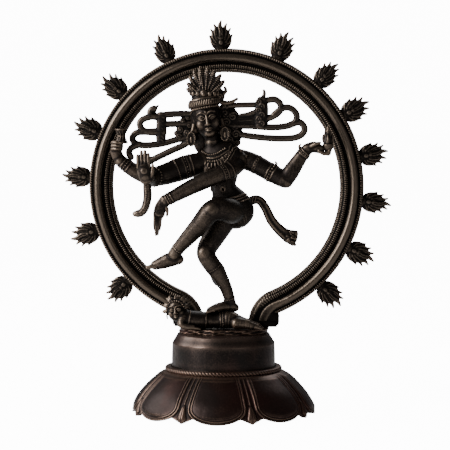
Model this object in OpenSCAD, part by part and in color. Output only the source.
// Cast brass statue of the dancing four-armed figure inside a ring of flames.
// Frame: origin at the centre of the face the base rests on, +Z up, the figure looks along -Y.
// "Right" and "left" are the figure's own: its right arm points towards -X.

/* [Base] */
// Diameter of the lotus base at the shelf
base_d = 138; // [112:1:170]
// Height of the lotus base, shelf to collar seat
lotus_h = 32; // [27:0.5:38]
// Diameter of the drum above the lotus
drum_d = 78.5; // [64:0.5:88]
// Height of the drum and its collar
drum_h = 28; // [24:0.5:34]
// Thickness of the rock slab on the drum
slab_t = 4; // [3.4:0.1:6]
// Wall thickness of the hollow base and drum
wall = 3; // [2.4:0.1:4]
// How far the lotus petals stand proud
petal_t = 1.3; // [0.8:0.1:2]

/* [Aureole] */
// Outer diameter of the aureole ring
ring_d = 207; // [170:1:246]
// Width of the ring band
ring_w = 18; // [15:0.5:22]
// Thickness of the ring's flat back plate
ring_t = 6; // [5:0.2:7.4]
// Radius of the curve that turns the ring into its feet
foot_bend = 19; // [16:0.5:30]
// Distance of a foot's middle inside the drum's edge
foot_inset = 11.4; // [8:0.1:13]
// Sideways offset of the ring on the base, as fitted by hand
ring_shift = 1.3; // [0:0.1:4]
// Distance of the ring's back behind the base's axis
ring_back = 11; // [10:0.5:14]
// Height of the flames beyond the ring
flame_h = 22; // [18:0.5:26]
// Width of a flame
flame_w = 18; // [14:0.5:19]
// Thickness of a flame
flame_t = 5; // [4.2:0.1:6]
// Length of the tenons under the ring's feet
tenon_len = 12; // [9:0.5:14]
// Width of a foot tenon
tenon_w = 8; // [6:0.5:10]
// Thickness of a foot tenon
tenon_t = 4; // [3.2:0.1:5]
// Distance of a tenon inboard of its foot's middle
tenon_inset = 3; // [2:0.1:4]

/* [Figure] */
// Height of the figure from the slab to the crown's tip
figure_h = 197; // [160:1:210]
// Diameter of the pegs that join the castings
peg_d = 4; // [3:0.1:4.8]
// Length of the pegs
peg_len = 7; // [5:0.5:8]

/* [Fits] */
// Gap all round a tenon in its socket
tenon_fit = 0.4; // [0.3:0.05:0.6]
// Gap all round a brazed peg or pin
peg_fit = 0.1; // [0.05:0.01:0.2]
// Diameter of the flame pins
pin_d = 3; // [2.4:0.1:3.6]
// Length of the flame pins
pin_len = 5; // [4:0.5:7]
// Diameter of the clamp stud
stud_d = 6; // [5:0.5:8]
// Gap round the clamp stud in the castings it passes
stud_fit = 0.3; // [0.2:0.05:0.5]

/* [Hidden] */
$fn = 96;
FLAME_ANGLES = [-134, -109, -86.5, -67.5, -48.5, -24.5, -2, 22, 42, 59, 77.5, 96, 116.5, 136];

// Colours of the aged brass and of the steel fixings
BRONZE = [0.24, 0.17, 0.11];
BRASS = [0.34, 0.24, 0.14];
STEEL = [0.45, 0.45, 0.46];

// Heights of the stack
drum_z = lotus_h;
slab_z = lotus_h + drum_h;
top_z = slab_z + slab_t;

// Lotus base
base_r = base_d / 2;
drum_r = drum_d / 2;
collar_r = drum_r + 3.9;
drum_taper = 0.8;
bevel_w = 5;
bevel_h = 7;
seat_t = 3.4;
PETALS = 8;
scallop_r = 3.2;
// Angle of the rim's notches on either side of the small petals
SCALLOP_TURN = 8.4;

// Aureole
ring_r = ring_d / 2;
ring_mid = ring_r - ring_w / 2;
rim_r = 1.5;
moulding_r = 3.4;
bead_r = 1.4;
foot_h = 5;
foot_x = drum_r - foot_inset;
foot_angle = 180 - asin((foot_x + foot_bend) / (ring_mid + foot_bend));
foot_top = top_z + foot_h / 2;
ring_z = foot_top - (ring_mid + foot_bend) * cos(foot_angle);
tenon_x = foot_x - tenon_inset;
tenon_y = ring_back - ring_t / 2;

// Clamp that pulls the stack together
nut_t = 5;
nut_d = stud_d * 2;
washer_d = stud_d * 3;
washer_t = 1.6;
clamp_z = lotus_h - seat_t;
stud_bite = 7;

// Length of a peg inside the casting that carries it
peg_root = 6;
// Room beyond a peg's end
socket_end = 0.5;

// Figure: every station below is written for a figure 197 mm high, standing on z = 0
k = figure_h / 197;

// The clamp stud rises into the dwarf's chest
stud_x = -6 * k;
stud_y = -10 * k;
function placed(s) = [for (i = [0 : len(s) - 1]) i == 2 ? top_z + k * s[2] : k * s[i]];
function placed_all(list) = [for (s = list) placed(s)];

// ---------------------------------------------------------------- curves and sweeps

function xyz(p) = [p[0], p[1], p[2]];
function unit(v) = v / norm(v);
function filled(s) = len(s) > 4 ? s : concat(s, [s[3]]);

// Smooth curve through the stations, with all five of a station's values blended alike
function curve(p, n) = let (last = len(p) - 1) concat([
    for (i = [0 : last - 1], j = [0 : n - 1])
        let (a = p[max(i - 1, 0)], b = p[i], c = p[i + 1], d = p[min(i + 2, last)], t = j / n)
            (2 * b + (c - a) * t + (2 * a - 5 * b + 4 * c - d) * t * t
                + (3 * b - a - 3 * c + d) * t * t * t) / 2
], [p[last]]);

function shifted(p, v, f) = [p[0] + v[0], p[1] + v[1], p[2] + v[2], p[3] * f, p[4] * f];

// The same curve with both of its ends rounded off
function rounded(p) = let (
    n = len(p) - 1,
    a = unit(xyz(p[0]) - xyz(p[1])) * min(p[0][3], p[0][4]),
    b = unit(xyz(p[n]) - xyz(p[n - 1])) * min(p[n][3], p[n][4])
) concat(
    [shifted(p[0], 0.9 * a, 0.4), shifted(p[0], 0.5 * a, 0.84)], p,
    [shifted(p[n], 0.5 * b, 0.84), shifted(p[n], 0.9 * b, 0.4)]
);

// Solid of elliptical sections along a curve: a station is [x, y, z, half width, half depth]
module sweep(stations, sides = 10, steps = 2, across = [0, 1, 0]) {
    p = rounded(curve([for (s = stations) filled(s)], steps));
    n = len(p);
    points = [
        for (i = [0 : n - 1])
            let (
                t = unit(xyz(p[min(i + 1, n - 1)]) - xyz(p[max(i - 1, 0)])),
                u = unit(cross(across, t)),
                v = cross(t, u)
            )
            for (j = [0 : sides - 1])
                xyz(p[i]) + u * p[i][3] * cos(360 * j / sides) + v * p[i][4] * sin(360 * j / sides)
    ];
    faces = concat(
        [[for (j = [0 : sides - 1]) j]],
        [for (i = [0 : n - 2], j = [0 : sides - 1])
            let (a = i * sides + j, b = i * sides + (j + 1) % sides)
                each [[a, a + sides, b], [b, a + sides, b + sides]]],
        [[for (j = [sides - 1 : -1 : 0]) (n - 1) * sides + j]]
    );
    polyhedron(points, faces);
}

// A sweep whose stations are the figure's
module limb(stations, sides = 10, steps = 2, across = [0, 1, 0]) {
    sweep(placed_all(stations), sides, steps, across);
}

// Cylinder that starts at a point and runs along a direction
module rod(start, along, d, length) {
    a = unit(along);
    translate(start)
        rotate([0, acos(a[2]), atan2(a[1], a[0])])
            cylinder(d = d, h = length, $fn = 32);
}

// Peg that a casting carries, and the socket that takes it
module peg(joint) {
    rod(placed(joint[0]) - unit(joint[1]) * peg_root, joint[1], peg_d, peg_root + peg_len);
}

module socket(joint) {
    rod(placed(joint[0]) - unit(joint[1]) * peg_root, joint[1],
        peg_d + 2 * peg_fit, peg_root + peg_len + socket_end);
}

// ---------------------------------------------------------------- base

// Radius of the lotus at a height, full at the shelf and drawn in to the collar
function lotus_r(z) = collar_r + 0.4 + (base_r - petal_t - collar_r - 0.4) * (1 - pow(z / lotus_h, 1.75));

module lotus_solid(grow, top) {
    steps = 12;
    rotate_extrude($fn = 160)
        polygon(concat(
            [[0, 0]],
            [for (i = [0 : steps]) [lotus_r(top * i / steps) + grow, top * i / steps]],
            [[0, top]]
        ));
}

// Pointed petal outline, wide at the shelf, its point below the collar
module petal_outline(w, h) {
    polygon(concat(
        [for (i = [0 : 6]) [w / 2 * sqrt(1 - pow(i / 6, 2.4)), h * i / 6]],
        [for (i = [5 : -1 : 0]) [-w / 2 * sqrt(1 - pow(i / 6, 2.4)), h * i / 6]]
    ));
}

module petals(w, h, turn) {
    for (i = [0 : PETALS - 1])
        rotate(360 / PETALS * (i + turn) - 90)
            translate([collar_r - 6, 0, 0])
                rotate([90, 0, 90])
                    linear_extrude(base_r)
                        petal_outline(w, h);
}

module lotus_base() {
    petal_w = 2 * base_r * sin(180 / PETALS) - 3;
    color(BRONZE) difference() {
        union() {
            lotus_solid(0, lotus_h);
            intersection() {
                lotus_solid(petal_t, lotus_h - 3);
                petals(petal_w, lotus_h - 4, 0);
            }
            intersection() {
                lotus_solid(petal_t * 0.6, lotus_h - 3);
                petals(petal_w * 0.42, lotus_h - 6, 0.5);
            }
        }
        translate([0, 0, -1])
            cylinder(r1 = base_r - petal_t - wall, r2 = base_r - petal_t - wall - 1, h = 5);
        difference() {
            lotus_solid(-wall, lotus_h - seat_t);
            translate([0, 0, -1])
                cylinder(r = base_r, h = 2);
        }
        for (i = [0 : PETALS - 1], side = [-1, 1])
            rotate(360 / PETALS * (i + 0.5) - 90 + side * SCALLOP_TURN)
                translate([base_r - 12, 0, 0])
                    rotate([0, 90, 0])
                        cylinder(r = scallop_r, h = 16, $fn = 32);
        stud_hole(clamp_z - 1, seat_t + 2);
    }
}

module stud_hole(z, h) {
    translate([stud_x, stud_y, z])
        cylinder(d = stud_d + 2 * stud_fit, h = h, $fn = 32);
}

module beaded_collar() {
    color(BRASS) translate([0, 0, drum_z]) rotate_extrude($fn = 160) difference() {
        union() {
            translate([drum_r - 1, 0]) square([collar_r - drum_r + 0.2, 3.4]);
            translate([collar_r - 0.8, 1.7]) circle(r = 1.7, $fn = 32);
        }
        square([drum_r + peg_fit, 10]);
    }
}

module pedestal_drum() {
    color(BRASS) difference() {
        translate([0, 0, drum_z]) rotate_extrude($fn = 160) polygon([
            [drum_r - wall, 0], [drum_r, 0], [drum_r - 0.3, 4],
            [drum_r - drum_taper, drum_h - bevel_h], [drum_r - bevel_w, drum_h],
            [0, drum_h], [0, drum_h - wall], [drum_r - wall - bevel_w, drum_h - wall],
            [drum_r - wall - drum_taper, drum_h - wall - bevel_h]
        ]);
        stud_hole(drum_z, drum_h + 1);
        tenon_sockets(top_z - tenon_len - 1, tenon_len + 1);
    }
}

// Rectangular holes under the ring's two feet
module tenon_sockets(z, h) {
    for (side = [-1, 1])
        translate([ring_shift + side * tenon_x, tenon_y, z + h / 2])
            cube([tenon_w + 2 * tenon_fit, tenon_t + 2 * tenon_fit, h], center = true);
}

module rock_slab() {
    reach = drum_r - bevel_w + 0.2;
    front = -23;
    back = ring_back + 2;
    color(BRONZE) difference() {
        translate([0, 0, slab_z]) linear_extrude(slab_t) polygon(concat(
            [[reach, back], [reach, 0], [reach - 4, front * 0.6]],
            [for (i = [0 : 12]) [(reach - 7) * (1 - i / 6), front + 1.2 * cos(i * 120)]],
            [[4 - reach, front * 0.6], [-reach, 0], [-reach, back]]
        ));
        stud_hole(slab_z - 1, slab_t + 2);
        tenon_sockets(slab_z - 1, slab_t + 2);
    }
}

module clamp_stud() {
    color(STEEL) translate([stud_x, stud_y, clamp_z - washer_t - nut_t - 3])
        cylinder(d = stud_d, h = top_z + stud_bite - clamp_z + washer_t + nut_t + 3, $fn = 32);
}

module clamp_washer() {
    color(STEEL) translate([stud_x, stud_y, clamp_z - washer_t]) difference() {
        cylinder(d = washer_d, h = washer_t, $fn = 48);
        translate([0, 0, -1]) cylinder(d = stud_d + stud_fit, h = washer_t + 2, $fn = 32);
    }
}

module clamp_nut() {
    color(STEEL) translate([stud_x, stud_y, clamp_z - washer_t - nut_t]) difference() {
        cylinder(d = nut_d, h = nut_t, $fn = 6);
        translate([0, 0, -1]) cylinder(d = stud_d + 0.02, h = nut_t + 2, $fn = 32);
    }
}

// ---------------------------------------------------------------- aureole

// Section of the band, across the width and forward from the back
module ring_section() {
    half = ring_w / 2;
    translate([-half, 0]) square([ring_w, ring_t]);
    translate([half - rim_r - 0.2, ring_t]) circle(r = rim_r, $fn = 24);
    translate([half - 2 * rim_r - 0.6 - moulding_r, ring_t]) circle(r = moulding_r, $fn = 40);
    translate([-half + 3.6, ring_t]) circle(r = bead_r, $fn = 24);
}

// Puts what is drawn round the ring's centre where the ring stands, front towards -Y
module at_ring() {
    translate([ring_shift, ring_back, ring_z])
        rotate([90, 0, 0])
            children();
}

module foot(side) {
    centre_x = (ring_mid + foot_bend) * sin(foot_angle);
    mirror([side < 0 ? 1 : 0, 0, 0]) {
        translate([centre_x, foot_top - ring_z, 0])
            rotate(269 - foot_angle)
                rotate_extrude(angle = foot_angle - 89, $fn = 96)
                    translate([foot_bend, 0]) {
                        translate([0.4 - ring_w / 2, 0])
                            square([ring_w - 0.8, ring_t - 0.2]);
                        translate([2 * rim_r + 0.6 + moulding_r - ring_w / 2, ring_t - 0.2])
                            circle(r = moulding_r - 0.3, $fn = 40);
                    }
        translate([foot_x, top_z - ring_z, 0]) {
            translate([-ring_w / 2 - 1, 0, 0])
                cube([ring_w + 3, foot_h, ring_t + moulding_r + 0.6]);
            translate([-tenon_inset - tenon_w / 2, -tenon_len, ring_t / 2 - tenon_t / 2])
                cube([tenon_w, tenon_len + 1, tenon_t]);
        }
    }
}

module aureole_ring() {
    color(BRONZE) difference() {
        at_ring() {
            rotate(90 - foot_angle)
                rotate_extrude(angle = 2 * foot_angle, $fn = 200)
                    translate([ring_mid, 0]) ring_section();
            foot(-1);
            foot(1);
        }
        for (a = FLAME_ANGLES)
            at_ring() rotate(-a)
                translate([0, ring_r + 1, ring_t / 2]) rotate([90, 0, 0])
                    cylinder(d = pin_d + 2 * peg_fit, h = pin_len + 1.6, $fn = 24);
    }
}

// Half outline of a flame: tips and notches as shares of its half width and its height
FLAME_HALF = [
    [0.66, -0.02], [0.62, 0.06], [0.9, 0.12], [0.98, 0.24], [0.8, 0.3], [1, 0.5],
    [0.74, 0.5], [0.76, 0.74], [0.48, 0.66], [0.42, 0.88], [0.2, 0.76]
];

module flame_outline(w, h) {
    last = len(FLAME_HALF) - 1;
    polygon(concat(
        [for (p = FLAME_HALF) [p[0] * w / 2, p[1] * h]],
        [[0, h]],
        [for (i = [last : -1 : 0]) [-FLAME_HALF[i][0] * w / 2, FLAME_HALF[i][1] * h]]
    ));
}

module flame(i) {
    w = flame_w * (1 - 0.05 * (i % 3));
    color(BRASS) at_ring() rotate(-FLAME_ANGLES[i]) difference() {
        union() {
            translate([0, ring_r, (ring_t - flame_t) / 2])
                linear_extrude(flame_t) flame_outline(w, flame_h);
            translate([0, ring_r + flame_h * 0.12, ring_t / 2])
                linear_extrude(flame_t / 2 + 1) flame_outline(w * 0.55, flame_h * 0.6);
            translate([0, ring_r + 2, ring_t / 2]) rotate([90, 0, 0])
                cylinder(d = pin_d, h = pin_len + 2, $fn = 24);
        }
        difference() {
            translate([0, 0, -1]) cylinder(r = ring_r, h = ring_t + 2, $fn = 200);
            translate([0, ring_r + 1, ring_t / 2]) rotate([90, 0, 0])
                cylinder(d = pin_d, h = pin_len + 5, $fn = 24);
        }
    }
}

// ---------------------------------------------------------------- joints of the figure

// Each joint is the point where the castings meet and the way its peg runs
NECK = [[-8, -5, 142], [0, 0, -1]];
CROWN = [[-13, -6, 174], [0.1, 0, -1]];
FRONT_RIGHT_SHOULDER = [[-18, -10, 125], [1, 0.1, 0]];
REAR_RIGHT_SHOULDER = [[-17, 0.6, 125], [1, 0, 0]];
FRONT_LEFT_SHOULDER = [[12, -9, 123], [-1, 0.3, -0.2]];
REAR_LEFT_SHOULDER = [[14, 0, 126], [-1, 0, 0]];
STANDING_HIP = [[3, -4, 76], [0.25, 0, 1]];
RAISED_HIP = [[8, -15, 88], [0.1, 1, 0]];
STANDING_SOLE = [[4, -9, 14], [0, 0, -1]];
RIGHT_HAIR = [[-21, -2, 152], [1, 0, 0]];
LEFT_HAIR = [[-3, -2, 152], [-1, 0, 0]];
SASH_KNOT = [[20, 2, 94], [-1, 0, 0]];
SERPENT_HOOK = [[-54, -30, 109], [0, 0, 1]];
DRUM_GRIP = [[-77, -7, 139], [-0.3, 0, -1]];
FLAME_GRIP = [[78, -7, 137], [0, 0, -1]];

// ---------------------------------------------------------------- bodies without their sockets

module torso_body() {
    limb([
        [9, -4, 82, 12, 9], [9, -4, 87, 14.8, 11], [6, -4, 93, 14, 10.5], [2, -4, 101, 10.4, 8.6],
        [0.4, -4, 107, 9.2, 8], [-0.5, -4.5, 114, 11.5, 8.6], [-1.5, -5, 121, 15, 9.4],
        [-3, -5, 127, 17.5, 9], [-6, -5, 131.5, 12, 7], [-7.5, -5, 135, 6.4, 5.6],
        [-8, -5, 139, 5.6, 5.4]
    ], 20, 2);
}

module head_body() {
    limb([
        [-8, -5, 140, 5.4, 5.6], [-8.5, -6, 144, 7.2, 8.4], [-10, -6.4, 150, 9.6, 10.2],
        [-11.4, -6, 157, 10.5, 11], [-12.4, -5.6, 163, 10.1, 10.4], [-13, -5.4, 169, 8.4, 8.6]
    ], 20, 2);
}

module front_right_arm_body() {
    limb([
        [-16, -9, 124, 8.2, 6.4], [-28, -12.5, 121.2, 8.8, 6.8], [-40, -17, 116.6, 8.2, 7],
        [-50, -23, 114, 7, 6.8]
    ], 14);
    limb([[-49, -23, 114, 6], [-52, -29, 114.4, 5.2], [-54.5, -36, 115.5, 4.4]], 12, 2, [0, 0, 1]);
    limb([
        [-54.4, -36.5, 112, 4.6, 3.4], [-55.5, -38, 119, 6, 3.2], [-56.4, -38, 126, 5.6, 2.8],
        [-57.4, -37.4, 134, 4, 2]
    ], 12);
}

module front_left_arm_body() {
    limb([
        [11, -8, 123.4, 6.6, 6.2], [6, -15, 119.4, 6.6], [-4, -20, 115, 6.2],
        [-20, -22.5, 108, 5.8], [-36, -25, 99.6, 4.7], [-41.4, -26, 96.8, 4.1, 3.6],
        [-45, -26, 90, 4.4, 2.9], [-47.4, -26, 81, 3.4, 2.2], [-48.6, -26, 72, 1.8, 1.5]
    ], 12);
}

module rear_right_arm_body() {
    limb([
        [-15, 0, 124, 7], [-30, 0, 118, 6.9], [-46, 0, 113.8, 6.6], [-58, -1, 114.2, 6.2],
        [-68, -3, 118.6, 5.4], [-77, -5, 125.4, 4.6], [-80, -6.6, 131, 4.4, 3.8],
        [-80.6, -7, 138, 4, 3.4]
    ], 12);
}

module rear_left_arm_body() {
    limb([
        [12, 0, 127, 7.4, 6.8], [22, -2, 124.2, 7.2, 6.4], [35, -4, 117.4, 6.9, 6.2],
        [45, -5.6, 112, 6.2, 5.8], [50.4, -6, 116, 6, 5.4], [54.4, -6, 123, 5.4, 5],
        [59.6, -6, 130.6, 4.6, 4.2], [65, -6.6, 135.6, 4, 3.8], [76, -7, 134, 5.6, 4.6]
    ], 12);
}

module standing_leg_body() {
    limb([
        [4, -4, 88, 10.6, 8.6], [-1.6, -5, 78.6, 9.8, 9], [-7.4, -8, 68, 8.3], [-12, -13, 58.6, 7],
        [-10.6, -14, 52.6, 6.6], [-4.4, -11, 43.4, 6.2], [1.8, -8, 32, 4.8], [5, -6, 22, 4.1],
        [6, -5, 16, 4.6, 4.4]
    ], 14);
    limb([[8, -3.6, 15.6, 3.4, 4.2], [0, -8, 16.4, 4, 4.6], [-8, -12.6, 15, 2.8, 4.8],
        [-13, -15.4, 14.2, 2, 4.2]], 12);
}

module raised_leg_body() {
    limb([
        [9, -6, 88, 10.6, 9.8], [5, -15, 89, 10.2, 9.8], [-1.4, -22, 90.6, 9, 8.8],
        [-8, -25, 88.4, 7.8], [-15.4, -23.4, 79.6, 6.9], [-24.4, -20, 69.6, 5.8],
        [-32.4, -17, 60.8, 4.8], [-35.4, -15.6, 56.4, 4.8]
    ], 14, 2, [0.3, 0.8, 0.6]);
    limb([[-31.4, -14, 53.8, 3.8, 3.8], [-39, -13.4, 52.8, 4.6, 4.2], [-47, -12, 48.6, 3.4, 4.6],
        [-55, -10.6, 45.4, 1.8, 3.8]], 12);
}

module dwarf_body() {
    limb([
        [-31, -14, 11, 5, 6], [-26, -13, 7.4, 6.6, 8.6], [-16, -11.6, 6.6, 6.4, 8.6],
        [-6, -10.6, 6.2, 5.8, 7.4], [3, -10, 6.6, 6.4, 8.6], [10, -11, 5.8, 5.4, 8],
        [17, -13, 4.2, 4, 7]
    ], 16);
    for (y = [-16, -8])
        limb([[11, y, 4.6, 4.2], [18, y - 1, 4, 3.6], [24, y - 1, 2.8, 2.4, 2.4],
            [29, y - 1.6, 2.4, 2, 2.8]], 8);
    limb([[-28, -19, 6, 3.4], [-30, -21.4, 3, 2.6], [-24, -21.6, 1.9, 1.6, 2.4]], 8);
    limb([
        [-34, -14, 9.6, 6.2, 6.4], [-34.4, -14.4, 17, 7.6, 7.8], [-34.4, -14, 24, 6.6, 7.4],
        [-34.2, -13.6, 28.4, 4, 5]
    ], 14);
}

// ---------------------------------------------------------------- the figure's castings

// The dwarf lies flat on the slab, so what is below it is cut away
module above_slab() {
    translate([-200, -200, top_z])
        cube([400, 400, 400]);
}

module dwarf() {
    color(BRONZE) difference() {
        intersection() {
            dwarf_body();
            above_slab();
        }
        stud_hole(top_z - 1, stud_bite + 1.5);
        socket(STANDING_SOLE);
    }
}

module standing_leg() {
    color(BRONZE) {
        difference() {
            standing_leg_body();
            torso_body();
            dwarf_body();
        }
        peg(STANDING_HIP);
        peg(STANDING_SOLE);
    }
}

module raised_leg() {
    color(BRONZE) {
        difference() {
            raised_leg_body();
            torso_body();
            standing_leg_body();
        }
        peg(RAISED_HIP);
    }
}

module torso() {
    color(BRONZE) difference() {
        torso_body();
        for (joint = [NECK, FRONT_RIGHT_SHOULDER, REAR_RIGHT_SHOULDER, FRONT_LEFT_SHOULDER,
            REAR_LEFT_SHOULDER, STANDING_HIP, RAISED_HIP, SASH_KNOT])
            socket(joint);
    }
}

module head() {
    color(BRONZE) {
        difference() {
            head_body();
            torso_body();
            for (joint = [CROWN, RIGHT_HAIR, LEFT_HAIR])
                socket(joint);
        }
        peg(NECK);
    }
}

module front_right_arm() {
    color(BRONZE) {
        difference() {
            front_right_arm_body();
            torso_body();
            socket(SERPENT_HOOK);
        }
        peg(FRONT_RIGHT_SHOULDER);
    }
}

module front_left_arm() {
    color(BRONZE) {
        difference() {
            front_left_arm_body();
            torso_body();
        }
        peg(FRONT_LEFT_SHOULDER);
    }
}

module rear_right_arm() {
    color(BRONZE) {
        difference() {
            rear_right_arm_body();
            torso_body();
            front_right_arm_body();
            socket(DRUM_GRIP);
        }
        peg(REAR_RIGHT_SHOULDER);
    }
}

module rear_left_arm() {
    color(BRONZE) {
        difference() {
            rear_left_arm_body();
            torso_body();
            front_left_arm_body();
            socket(FLAME_GRIP);
        }
        peg(REAR_LEFT_SHOULDER);
    }
}

// Lean and length of each feather of the crown
FEATHERS = [
    [-62, 16], [-49, 18], [-36, 20.5], [-22, 23], [-9, 24.5], [5, 23.5], [19, 22], [33, 20.5], [47, 18.5]
];

module feather_outline(h) {
    polygon(k * [[-1.4, 0], [1.4, 0], [2.4, h * 0.72], [0, h], [-2.4, h * 0.72]]);
}

// Fan of feathers above a band round the head
module crown_fan() {
    color(BRASS) {
        difference() {
            union() {
                translate(placed([-13, -6.4, 172])) rotate([90, 0, 0])
                    linear_extrude(4 * k)
                        for (f = FEATHERS)
                            rotate(-f[0]) feather_outline(f[1]);
                limb([
                    [-13.4, -5.4, 167, 10.4, 10.3], [-13.6, -5.6, 173, 10.4, 10.3], [-13.8, -6, 178, 6.4, 7.2]
                ], 16);
            }
            head_body();
        }
        peg(CROWN);
    }
}

module lock(points, r = 1.7) {
    limb([for (p = points) [p[0], -1, p[1], r, r]], 8, 2);
}

module right_hair_locks() {
    color(BRONZE) {
        difference() {
            union() {
                lock([[-18, 160], [-30, 160.5], [-42, 160], [-50, 158], [-54.6, 160], [-54.4, 163],
                    [-52, 164]]);
                lock([[-45, 158], [-54, 158.4], [-61.4, 155.6], [-62.6, 151.6], [-60, 148], [-54, 146.6],
                    [-45, 146.6]]);
                lock([[-46, 148], [-56, 147], [-64, 146.6], [-68, 143.6], [-67.6, 139.6], [-63, 137.2],
                    [-55, 137], [-45, 138.4], [-34, 141.4], [-24, 143]]);
                lock([[-63, 137.6], [-69, 135], [-71, 131.4], [-69.6, 128]]);
                lock([[-20, 153], [-34, 153], [-47, 152.6]]);
                lock([[-56, 124.6], [-46, 129.6], [-38, 133.4], [-29, 137.6], [-22, 143]]);
                limb([[-47, -2, 157, 3, 2.4], [-47, -2, 148, 3.4, 2.6], [-47, -2, 139, 3, 2.4]], 8);
                limb([[-29, -2, 157, 3.4, 2.4], [-29, -2, 147, 3.6, 2.6], [-27, -2, 139, 3.4, 2.4]], 8);
            }
            head_body();
            torso_body();
            rear_right_arm_body();
            front_right_arm_body();
        }
        peg(RIGHT_HAIR);
    }
}

module left_hair_locks() {
    color(BRONZE) {
        difference() {
            union() {
                lock([[-6, 163], [4, 166.4], [12, 167], [24, 167]]);
                limb([[28, -2, 176, 1.4, 1.4], [27.6, -2, 170, 4.4, 2.6], [27.6, -2, 160, 5, 2.8],
                    [27.6, -2, 150, 4.6, 2.4]], 8);
                lock([[30, 170], [38, 171.4], [42.6, 168], [42.4, 163], [37, 158.6], [28, 155.6]], 1.9);
                lock([[38, 160], [44, 164.6], [49.4, 165.2], [54, 161.6], [54.8, 156.8], [51.6, 153],
                    [44, 151], [34, 150.6], [20, 151.6], [-2, 152]], 1.9);
                lock([[50, 152.6], [57, 154.4], [60.6, 150.4], [59.4, 146], [54, 143], [45, 142.2],
                    [33, 142.6], [17, 144.4], [-2, 148]], 1.9);
                limb([[11, -1, 162, 2, 1.6], [14, -1, 157, 3.4, 2.2], [17, -1, 152, 2, 1.6]], 8);
            }
            head_body();
            torso_body();
        }
        peg(LEFT_HAIR);
    }
}

module waist_sash() {
    color(BRASS) {
        difference() {
            union() {
                limb([[16, 1, 94, 2.6, 2], [26, 2, 94, 3, 1.8], [31.4, 2, 88, 3.4, 1.6],
                    [36, 2, 80, 3.6, 1.6], [43, 2, 72, 4, 1.6], [50, 2, 68, 5.4, 1.6]], 10);
                limb([[49, 2, 68.4, 5.4, 1.6], [53, 2, 67.6, 6.4, 1.8]], 8);
            }
            torso_body();
            raised_leg_body();
        }
        peg(SASH_KNOT);
    }
}

module serpent() {
    color(BRASS) {
        difference() {
            limb([[-54.4, -31, 108, 2.8], [-54.6, -31, 98, 2.7], [-56.4, -31, 91.6, 2.4],
                [-60, -31, 88, 2.2], [-64, -31, 87, 1.6]], 10);
            front_right_arm_body();
        }
        peg(SERPENT_HOOK);
    }
}

// Small hourglass drum held in the rear right hand
module hand_drum() {
    color(BRASS) {
        difference() {
            translate(placed([-76, -7.6, 144])) rotate_extrude($fn = 48)
                polygon(k * [[0, -6], [5.2, -6], [5.4, -4.6], [2.6, 0], [5.4, 4.6], [5.2, 6], [0, 6]]);
            rear_right_arm_body();
        }
        peg(DRUM_GRIP);
    }
}

module hand_flame() {
    color(BRASS) {
        difference() {
            union() {
                translate(placed([78.6, -5, 138])) rotate([90, 0, 0])
                    linear_extrude(4 * k) flame_outline(9 * k, 15 * k);
                translate(placed([78.4, -7, 136])) cylinder(r1 = 3 * k, r2 = 4.4 * k, h = 4 * k, $fn = 32);
            }
            rear_left_arm_body();
        }
        peg(FLAME_GRIP);
    }
}

// ---------------------------------------------------------------- the assembly

lotus_base();
beaded_collar();
pedestal_drum();
rock_slab();
clamp_stud();
clamp_washer();
clamp_nut();
aureole_ring();
flame(0);  // flame_01
flame(1);  // flame_02
flame(2);  // flame_03
flame(3);  // flame_04
flame(4);  // flame_05
flame(5);  // flame_06
flame(6);  // flame_07
flame(7);  // flame_08
flame(8);  // flame_09
flame(9);  // flame_10
flame(10);  // flame_11
flame(11);  // flame_12
flame(12);  // flame_13
flame(13);  // flame_14
dwarf();
standing_leg();
raised_leg();
torso();
front_right_arm();
front_left_arm();
rear_right_arm();
rear_left_arm();
head();
crown_fan();
right_hair_locks();
left_hair_locks();
waist_sash();
serpent();
hand_drum();
hand_flame();
